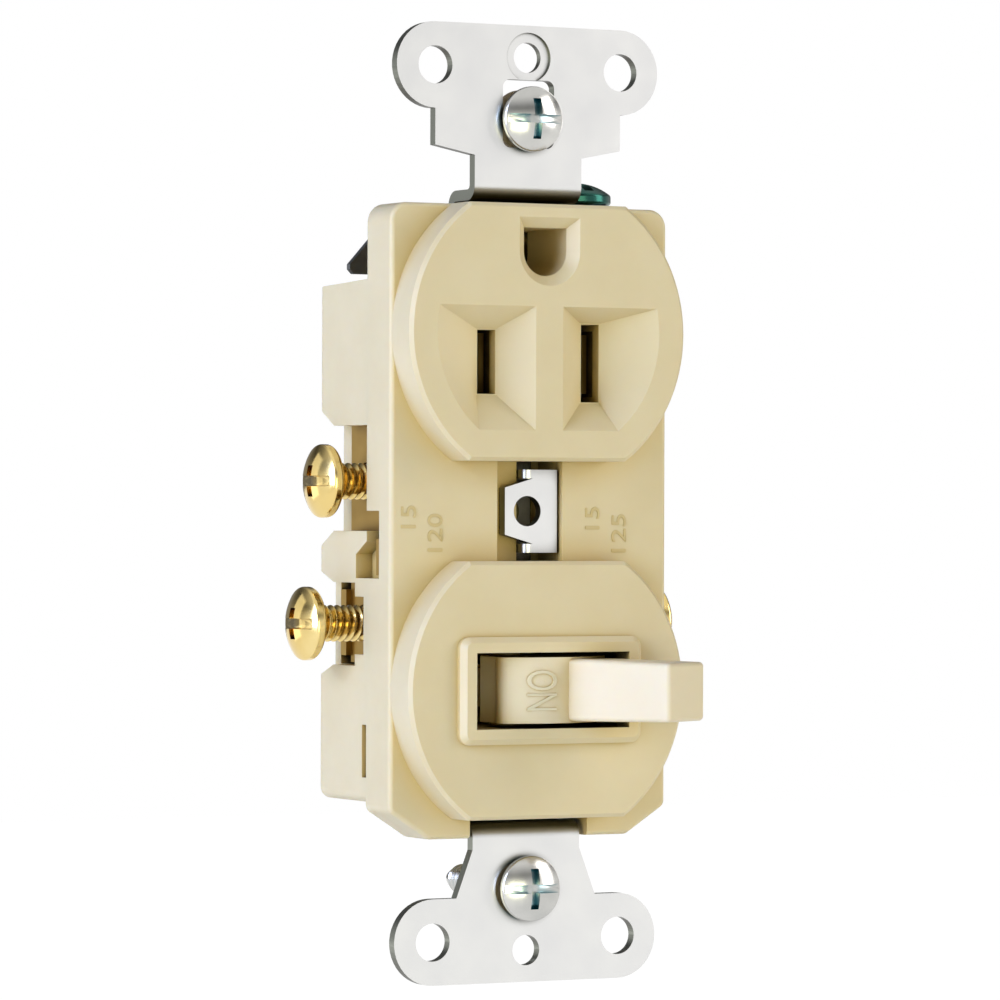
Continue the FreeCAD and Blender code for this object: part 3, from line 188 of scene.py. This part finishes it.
def moulded(name, colour, shade, roughness, deep):
    """Ivory thermoset: faint clouds in its colour, a fine satin grain, soft depth and painted shade in
    its recesses and slots. shade is the colour of the clouds, deep the darkest painted shade, down in
    its slots."""
    skin = Surface(name, Subsurface_Weight=0.25, Subsurface_Scale=IVORY_DEPTH,
                   Subsurface_Radius=IVORY_SPREAD)
    clouds = skin.noise(scale=160, detail=4)
    gloss = skin.noise(scale=900, detail=3)
    grain = skin.noise(scale=5200, detail=3)
    waves = skin.noise(scale=260, detail=2)
    face = skin.colours(clouds, 0.35, 0.68, shade, colour)
    # Painted shade: the deep colour in the slots and the recess shade in recesses, by how open each
    # point is
    openness = skin.openness(IVORY_REACH)
    slot = skin.colours(openness, SHUT, HALF_SHUT, deep, IVORY_RECESS_SHADE)
    skin.set("Base Color", skin.colours(openness, HALF_SHUT, OPEN, slot, face))
    skin.set("Roughness", skin.spread(gloss, 0.3, 0.7, roughness - 0.05, roughness + 0.06))
    skin.bump(grain, strength=0.22, distance=0.00002)
    skin.bump(waves, strength=0.12, distance=0.00006)
    return skin.material


def plated(name, colour, shade, roughness, grain, bump=0.12, cloudy=1.0, crevice=None, painted_edge_reflection=None):
    """Plated steel or brass: rolling lines along the grain, fine pits and cloudy roughness. shade is the
    colour of its clouds, crevice the colour and reach of the tint in its recesses and sheared the two
    colours of the painted dark reflections on a sheet's edges and on its faces turned down."""
    skin = Surface(name, Metallic=1.0)
    lines = skin.noise(scale=2600, detail=3, stretch=grain)
    clouds = skin.noise(scale=220, detail=4)
    pits = skin.noise(scale=3400, detail=2)
    tone = skin.colours(clouds, 0.3, 0.7, shade, colour)
    if crevice:
        tint, reach = crevice
        tone = skin.colours(skin.openness(reach), 0.35, 0.8, tint, tone)
    if painted_edge_reflection:
        tone = skin.sheet(tone, *painted_edge_reflection)
    smooth, dull = roughness - 0.06 * cloudy, roughness + 0.08 * cloudy
    skin.set("Base Color", tone)
    skin.set("Roughness", skin.spread(clouds, 0.3, 0.7, smooth, dull))
    skin.bump(lines, strength=bump, distance=0.00002)
    skin.bump(pits, strength=bump * 0.7, distance=0.00001)
    return skin.material


def fibre(name):
    """Pressed fibre: strands in its colour and its bump."""
    skin = Surface(name, Roughness=0.85)
    strands = skin.noise(scale=2400, detail=6, stretch=(1, 1, 0.3))
    skin.set("Base Color", skin.colours(strands, 0.3, 0.7, srgb(150, 132, 104), srgb(190, 172, 140)))
    skin.bump(strands, strength=0.5, distance=0.00008)
    return skin.material


# One material for each slot of the record
FINISHES = {
    # The last colour of each moulded finish is the painted shade deep in its slots
    "ivory_plastic": moulded("ivory_plastic", srgb(227, 212, 171), srgb(224, 208, 165), 0.42,
                             srgb(24, 16, 6)),
    "ivory_toggle": moulded("ivory_toggle", srgb(236, 223, 191), srgb(233, 219, 185), 0.38,
                            srgb(176, 146, 84)),
    # On the strap the crevice tint is painted shade round the screw heads and in its bends, and the last
    # two colours are painted dark reflections on its edges and on its faces turned down
    "strap_steel": plated("strap_steel", srgb(226, 226, 225), srgb(222, 222, 222), 0.3, (1, 1, 0.06),
                          bump=0.08, cloudy=0.2, crevice=(srgb(58, 54, 36), 0.0035),
                          painted_edge_reflection=(srgb(140, 143, 134), srgb(46, 42, 24))),
    # On brass the crevice tint is painted shade on the terminal plates in their recesses
    "brass": plated("brass", srgb(178, 148, 82), srgb(160, 128, 62), 0.36, (1, 1, 0.08),
                    crevice=(srgb(128, 102, 54), 0.0025)),
    "steel": plated("steel", srgb(206, 206, 206), srgb(188, 188, 189), 0.3, (0.2, 1, 1)),
    "screw_steel": plated("screw_steel", srgb(208, 207, 202), srgb(186, 186, 182), 0.2, (1, 1, 1),
                          bump=0.08, cloudy=0.5, crevice=(srgb(84, 132, 140), 0.0012)),
    "brass_screw": plated("brass_screw", srgb(236, 212, 146), srgb(224, 194, 118), 0.14, (1, 1, 1),
                          bump=0.05, crevice=(srgb(140, 112, 56), 0.001)),
    "green_screw": plated("green_screw", srgb(62, 112, 100), srgb(34, 76, 68), 0.28, (1, 1, 1)),
    "bracket_steel": plated("bracket_steel", srgb(122, 126, 130), srgb(98, 102, 106), 0.4,
                            (0.08, 1, 1)),
    "silver_contact": plated("silver_contact", srgb(238, 236, 230), srgb(222, 220, 214), 0.25,
                             (1, 1, 1)),
    "washer_fibre": fibre("washer_fibre"),
}
# The numbers are tinted tan as painted shade on their raised strokes, and their last colour is painted
# shade deep in their hollows
NUMBERS = moulded("ivory_numbers", srgb(220, 197, 142), srgb(214, 190, 134), 0.42, srgb(120, 100, 60))


def give(piece, material):
    piece.data.materials.clear()
    piece.data.materials.append(material)


def soften(piece, width):
    """Breaks the sharp edges and keeps the flats flat."""
    bevel = piece.modifiers.new("edge", "BEVEL")
    bevel.width = width
    bevel.segments = 2
    bevel.limit_method = "ANGLE"
    bevel.angle_limit = SHARP
    bevel.use_clamp_overlap = True
    bevel.harden_normals = False
    bevel.miter_outer = "MITER_ARC"


def mark_sharp(mesh):
    """Shades a mesh of this script's own smooth, with its steep and open edges sharp."""
    shape = bmesh.new()
    shape.from_mesh(mesh)
    for edge in shape.edges:
        edge.smooth = len(edge.link_faces) == 2 and edge.calc_face_angle(0) < SHARP
    for face in shape.faces:
        face.smooth = True
    shape.to_mesh(mesh)
    shape.free()


for name, piece in nodes.items():
    give(piece, FINISHES[slot_of[name]])


# Screws: each keeps its CAD head and gets a shank with a real thread. Sizes in millimetres.

Head = namedtuple("Head", "radius high rim")
Shank = namedtuple("Shank", "length major minor pitch point_radius point_long neck_radius neck_long")
TERMINAL_HEAD = Head(radius=4.0, high=2.55, rim=1.15)
GROUND_HEAD = Head(radius=3.9, high=2.55, rim=1.15)
BOX_HEAD = Head(radius=3.55, high=1.9, rim=0.8)
TERMINAL_SHANK = Shank(length=8.0, major=2.0, minor=1.62, pitch=0.79, point_radius=1.4, point_long=0.6,
                       neck_radius=1.66, neck_long=0.1)
GROUND_SHANK = TERMINAL_SHANK._replace(length=6.6)
BOX_SHANK = Shank(length=17.8, major=1.7, minor=1.36, pitch=0.79, point_radius=0.85, point_long=2.2,
                  neck_radius=1.3, neck_long=2.7)

# Node, body, middle of the head's underside, the way the head faces, shank and head
LEFT, RIGHT, FRONT, UP = (-1, 0, 0), (1, 0, 0), (0, -1, 0), (0, 0, 1)
SCREWS = (
    ("line_screw_upper", "line_upper", (-18.65, 10.7, 2.4), LEFT, TERMINAL_SHANK, TERMINAL_HEAD),
    ("line_screw_lower", "line_lower", (-20.7, 10.7, -13.05), LEFT, TERMINAL_SHANK, TERMINAL_HEAD),
    ("neutral_screw", "neutral", (18.65, 10.7, 2.4), RIGHT, TERMINAL_SHANK, TERMINAL_HEAD),
    ("load_screw", "load", (20.7, 10.7, -13.05), RIGHT, TERMINAL_SHANK, TERMINAL_HEAD),
    ("ground_screw", "ground", (10.8, 9.1, 33.0), UP, GROUND_SHANK, GROUND_HEAD),
    ("mounting_screw_top", "box_top", (0, -0.5, 41.67), FRONT, BOX_SHANK, BOX_HEAD),
    ("mounting_screw_bottom", "box_bottom", (0, -0.5, -41.67), FRONT, BOX_SHANK, BOX_HEAD),
)

# Steps round a shank, the thread's form and the run over which it rises, as shares of its pitch
AROUND = 36
ROOT_END, CREST_START, CREST_END = 0.12, 0.5, 0.62
RUNOUT = 0.9
# How far a shank starts inside its head, and how round a head's edges are as a share of its rim
OVERLAP = 0.02
RIM_ROUND = 0.4
# Points of a shank this near are merged and edges this short are dropped, in metres
MERGE, SLIVER = 2e-7, 1e-7


def thread_rows(shank):
    """Depth and radius of each row of a helical thread, from the head at 0 down to the point."""
    form = ((0.0, shank.minor), (ROOT_END, shank.minor),
            (CREST_START, shank.major), (CREST_END, shank.major))
    turns = int(shank.length / shank.pitch) + 2
    return [(shank.pitch * (turn + phase), radius)
            for turn in range(-1, turns) for phase, radius in form]


def thread_rings(shape, seat, turn, shank):
    """The rows as rings of vertices, tapered to the neck above and to the point below."""
    runout = RUNOUT * shank.pitch
    rings = []
    for along, radius in thread_rows(shank):
        ring = []
        for step in range(AROUND + 1):
            depth = min(max(along + shank.pitch * step / AROUND, -OVERLAP), shank.length)
            fade = min(1.0, (shank.length - depth) / shank.point_long)
            size = min(radius, shank.point_radius + (shank.major - shank.point_radius) * fade)
            run = depth - shank.neck_long
            if run < runout:
                rise = (shank.major - shank.neck_radius) * max(run, 0) / runout
                size = min(size, shank.neck_radius + rise)
            angle = 2 * math.pi * step / AROUND
            place = Vector((size * math.cos(angle), size * math.sin(angle), -depth)) * MM
            ring.append(shape.verts.new(turn @ place + seat))
        rings.append(ring)
    return rings


def make_screw(node, body, seat, outward, shank, head):
    """A copy of a screw: its CAD head down to the underside, and a threaded shank from there."""
    seat = Vector(seat) * MM
    outward = Vector(outward)
    shape = bmesh.new()
    shape.from_mesh(nodes[node].data)
    below = [face for face in shape.faces
             if min((vertex.co - seat).dot(outward) for vertex in face.verts) < -OVERLAP * MM]
    bmesh.ops.delete(shape, geom=below, context="FACES")
    turn = outward.to_track_quat("Z", "Y").to_matrix()
    rings = thread_rings(shape, seat, turn, shank)
    for upper, lower in zip(rings, rings[1:]):
        for step in range(AROUND):
            shape.faces.new((upper[step], lower[step], lower[step + 1], upper[step + 1]))
    last = rings[-1]
    tip = shape.verts.new(turn @ Vector((0, 0, -shank.length * MM)) + seat)
    for step in range(AROUND):
        shape.faces.new((last[step], tip, last[step + 1]))
    bmesh.ops.remove_doubles(shape, verts=shape.verts, dist=MERGE)
    bmesh.ops.dissolve_degenerate(shape, dist=SLIVER, edges=shape.edges)
    bmesh.ops.recalc_face_normals(shape, faces=shape.faces)
    mesh = bpy.data.meshes.new(node + "_threaded")
    shape.to_mesh(mesh)
    shape.free()
    piece = add(node + "_threaded", mesh)
    give(piece, FINISHES[slot_of[node]])
    mark_sharp(mesh)
    head_normals(mesh, seat, outward, head)
    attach(piece, body)
    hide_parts(node)


def head_normals(mesh, seat, outward, head):
    """Gives the turned faces of a screw's head the normals of its true dome, rim and roundings."""
    radius, high, rim = (size * MM for size in head)
    ball = (radius ** 2 + (high - rim) ** 2) / (2 * (high - rim))
    middle = high - ball
    soft = RIM_ROUND * rim
    inner = radius - soft
    shoulder = middle + math.sqrt((ball - soft) ** 2 - inner ** 2)
    # The head's faces lie above this, and a turned one's normal agrees this well with the true one
    head_from, agrees = -0.001 * MM, 0.95

    def turned(point):
        height = (point - seat).dot(outward)
        radial = point - seat - height * outward
        out = radial.length
        radial.normalize()
        if height < soft and out > inner:
            lean = (out - inner, height - soft)
        elif height <= shoulder:
            lean = (1, 0)
        elif inner * (height - shoulder) < (shoulder - middle) * (out - inner):
            lean = (out - inner, height - shoulder)
        else:
            lean = (out, height - middle)
        return (radial * lean[0] + outward * lean[1]).normalized()

    normals = [Vector((0, 0, 0))] * len(mesh.loops)
    for face in mesh.polygons:
        lowest = min((mesh.vertices[v].co - seat).dot(outward) for v in face.vertices)
        if lowest > head_from and face.normal.dot(turned(face.center)) > agrees:
            for loop in face.loop_indices:
                normals[loop] = turned(mesh.vertices[mesh.loops[loop].vertex_index].co)
    mesh.normals_split_custom_set(normals)


for screw in SCREWS:
    make_screw(*screw)


# Lettering: name, words, width and place, in millimetres. The lever's words stand on its drum at an
# angle from the lever, the numbers on the flange at their X and Z.

LEVER_WORDS = (("letters_on", "ON", 4.3, -33.5), ("letters_off", "OFF", 5.6, 33.5))
FLANGE_NUMBERS = (
    ("number_a", "15", 2.4, -14.73, -1.44),
    ("number_b", "120", 4.0, -11.55, -3.12),
    ("number_c", "15", 2.4, 7.72, -1.53),
    ("number_d", "125", 4.1, 11.0, -3.18),
)
# Height and thickness in millimetres, and how far the strokes are thinned in the font's own units
WORD_TALL, WORD_THICK, WORD_THIN = 3.5, 0.36, 0.018
NUMBER_TALL, NUMBER_THICK, NUMBER_THIN = 1.75, 0.16, 0.022
FONT_STEPS, FONT_DEPTH, FONT_BEVEL = 4, 0.5, 0.02


def raised_text(name, words, body, size, place, thin):
    """Raised lettering fitted to a size; place maps a point of its plane and its height to the part."""
    curve = bpy.data.curves.new(name + "_curve", "FONT")
    curve.body = words
    curve.size = 1
    curve.resolution_u = FONT_STEPS
    curve.extrude = FONT_DEPTH
    curve.offset = -thin
    curve.bevel_depth = FONT_BEVEL
    curve.bevel_resolution = 1
    source = add(name + "_source", curve)
    mesh = bpy.data.meshes.new_from_object(source.evaluated_get(bpy.context.evaluated_depsgraph_get()))
    bpy.data.objects.remove(source)
    low = [min(vertex.co[k] for vertex in mesh.vertices) for k in range(3)]
    high = [max(vertex.co[k] for vertex in mesh.vertices) for k in range(3)]
    for vertex in mesh.vertices:
        share = [(vertex.co[k] - low[k]) / (high[k] - low[k]) - 0.5 for k in range(3)]
        vertex.co = place(*(share[k] * size[k] for k in range(3)))
    piece = add(name, mesh)
    mark_sharp(mesh)
    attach(piece, body)
    return piece


def on_drum(middle):
    """Places lettering on the toggle's drum, its tops to the right, about an angle from the lever."""
    def place(across, up, out):
        angle = THROW + middle + up * MM / DRUM
        radius = DRUM + out * MM
        return PIVOT + Vector((radius * math.sin(angle), -radius * math.cos(angle), -across * MM))
    return place


def on_flange(x, z):
    """Places numbers on the cover's flange, read upwards."""
    def place(across, up, out):
        return Vector((x - up, FLANGE - out, z + across)) * MM
    return place


for name, words, wide, middle in LEVER_WORDS:
    spot = on_drum(math.radians(middle))
    letters = raised_text(name, words, "toggle", (wide, WORD_TALL, WORD_THICK), spot, WORD_THIN)
    give(letters, FINISHES["ivory_toggle"])
for name, words, wide, x, z in FLANGE_NUMBERS:
    spot = on_flange(x, z)
    letters = raised_text(name, words, "device", (wide, NUMBER_TALL, NUMBER_THICK), spot, NUMBER_THIN)
    give(letters, NUMBERS)


# Light, floor and background

# Name, place, width and height, watts and colour. All look at the origin.
LAMPS = (
    ("key", (-1.1, -0.27, 0.3), (0.7, 0.9), 12.6, (0.87, 0.98, 1.4)),
    ("side", (-0.7, 0.75, 0.1), (0.5, 0.9), 1.2, (1, 1, 1)),
    ("right", (0.95, -0.6, 0.35), (0.5, 0.9), 6.2, (1.05, 1, 0.98)),
    ("low", (-0.22, -1.05, -0.12), (0.6, 0.5), 3.4, (1, 0.99, 0.66)),
)
WHITE = (1, 1, 1, 1)
FILL_LEVEL, FILL_COLOUR = 0.02, (1, 0.985, 0.96, 1)
# Brightness of the reflected room from straight down, at 0, to straight up, at 1, and how it
# dims from one Y of the ray to another
ROOM = (
    (0.0, 0.75), (0.18, 0.45), (0.28, 0.16), (0.36, 0.3), (0.43, 0.88),
    (0.57, 0.92), (0.64, 0.5), (0.7, 0.2), (0.78, 0.6), (0.86, 1.0),
)
BEHIND = {"From Min": 0.2, "From Max": 0.7, "To Min": 1.0, "To Max": 0.3}
FLOOR_HEIGHT, FLOOR_REACH = -0.42, 6
FLOOR_GREY, FLOOR_ROUGHNESS = (0.9, 0.9, 0.9, 1), 0.9
# Glow of the floor where it is seen directly, and its share of what is seen there
FLOOR_GLOW, FLOOR_SHARE = 1.2, 0.85


def area_light(name, place, size, power, colour):
    lamp = bpy.data.lights.new(name, "AREA")
    lamp.shape = "RECTANGLE"
    lamp.size, lamp.size_y = size
    lamp.energy = power
    lamp.color = colour
    item = add(name, lamp)
    item.location = place
    item.rotation_euler = (-Vector(place)).to_track_quat("-Z", "Y").to_euler()


def mixed(tree, share, first, second):
    """One shader where the share is 0 and another where it is 1."""
    mix = tree.nodes.new("ShaderNodeMixShader")
    for socket, source in zip(mix.inputs, (share, first, second)):
        tree.links.new(source, socket)
    return mix.outputs[0]


def background(tree, colour, strength=1.0):
    node = tree.nodes.new("ShaderNodeBackground")
    node.inputs["Color"].default_value = colour
    node.inputs["Strength"].default_value = strength
    return node


def reflected_room(tree):
    """What metal reflects: a white room with dark bands above and below eye height, dimmer behind."""
    room = background(tree, WHITE)
    way = tree.nodes.new("ShaderNodeSeparateXYZ")
    tree.links.new(tree.nodes.new("ShaderNodeTexCoord").outputs["Generated"], way.inputs[0])
    # The ray's Z from -1 to 1, halved and raised to run from 0 to 1
    height = tree.nodes.new("ShaderNodeMath")
    height.operation = "MULTIPLY_ADD"
    height.inputs[1].default_value = 0.5
    height.inputs[2].default_value = 0.5
    tree.links.new(way.outputs["Z"], height.inputs[0])
    ramp = tree.nodes.new("ShaderNodeValToRGB")
    tree.links.new(height.outputs[0], ramp.inputs["Fac"])
    bands = ramp.color_ramp.elements
    bands.remove(bands[1])
    for place, level in ROOM:
        band = bands[0] if place == 0 else bands.new(place)
        band.position = place
        band.color = (level, level, level, 1)
    behind = tree.nodes.new("ShaderNodeMapRange")
    for name, number in BEHIND.items():
        behind.inputs[name].default_value = number
    tree.links.new(way.outputs["Y"], behind.inputs["Value"])
    tree.links.new(ramp.outputs["Color"], room.inputs["Color"])
    tree.links.new(behind.outputs["Result"], room.inputs["Strength"])
    return room


def set_world():
    """White to the camera, the room to glossy rays and a faint fill to all others."""
    world = bpy.data.worlds.new("studio")
    bpy.context.scene.world = world
    world.use_nodes = True
    tree = world.node_tree
    tree.nodes.clear()
    path = tree.nodes.new("ShaderNodeLightPath")
    fill = background(tree, FILL_COLOUR, FILL_LEVEL)
    lit = mixed(tree, path.outputs["Is Glossy Ray"], fill.outputs[0], reflected_room(tree).outputs[0])
    whole = mixed(tree, path.outputs["Is Camera Ray"], lit, background(tree, WHITE).outputs[0])
    tree.links.new(whole, tree.nodes.new("ShaderNodeOutputWorld").inputs[0])


def seen_directly(tree):
    """1 on camera, glossy and transmitted rays, else 0."""
    path = tree.nodes.new("ShaderNodeLightPath")
    total = path.outputs["Is Camera Ray"]
    for name in ("Is Glossy Ray", "Is Transmission Ray"):
        more = tree.nodes.new("ShaderNodeMath")
        more.operation = "MAXIMUM"
        tree.links.new(total, more.inputs[0])
        tree.links.new(path.outputs[name], more.inputs[1])
        total = more.outputs[0]
    return total


def make_floor():
    """A pale floor that shows nearly white and still catches a faint shadow."""
    mesh = bpy.data.meshes.new("floor")
    corners = ((-1, -1), (1, -1), (1, 1), (-1, 1))
    places = [(x * FLOOR_REACH, y * FLOOR_REACH, FLOOR_HEIGHT) for x, y in corners]
    mesh.from_pydata(places, [], [(0, 1, 2, 3)])
    floor = add("floor", mesh)
    material = bpy.data.materials.new("floor")
    material.use_nodes = True
    tree = material.node_tree
    plain = tree.nodes["Principled BSDF"]
    plain.inputs["Base Color"].default_value = FLOOR_GREY
    plain.inputs["Roughness"].default_value = FLOOR_ROUGHNESS
    glow = tree.nodes.new("ShaderNodeEmission")
    glow.inputs["Strength"].default_value = FLOOR_GLOW
    share = tree.nodes.new("ShaderNodeMath")
    share.operation = "MULTIPLY"
    share.inputs[1].default_value = FLOOR_SHARE
    tree.links.new(seen_directly(tree), share.inputs[0])
    whole = mixed(tree, share.outputs[0], plain.outputs[0], glow.outputs[0])
    tree.links.new(whole, tree.nodes["Material Output"].inputs["Surface"])
    mesh.materials.append(material)


set_camera()
set_world()
make_floor()
for lamp in LAMPS:
    area_light(*lamp)
bpy.context.scene.view_settings.view_transform = "Standard"

# Widths in millimetres by which the edges are broken
EDGE_WIDTHS = {"cover": 0.25, "base": 0.2, "toggle": 0.25, "mounting_strap": 0.12}
for name, width in EDGE_WIDTHS.items():
    soften(nodes[name], width * MM)
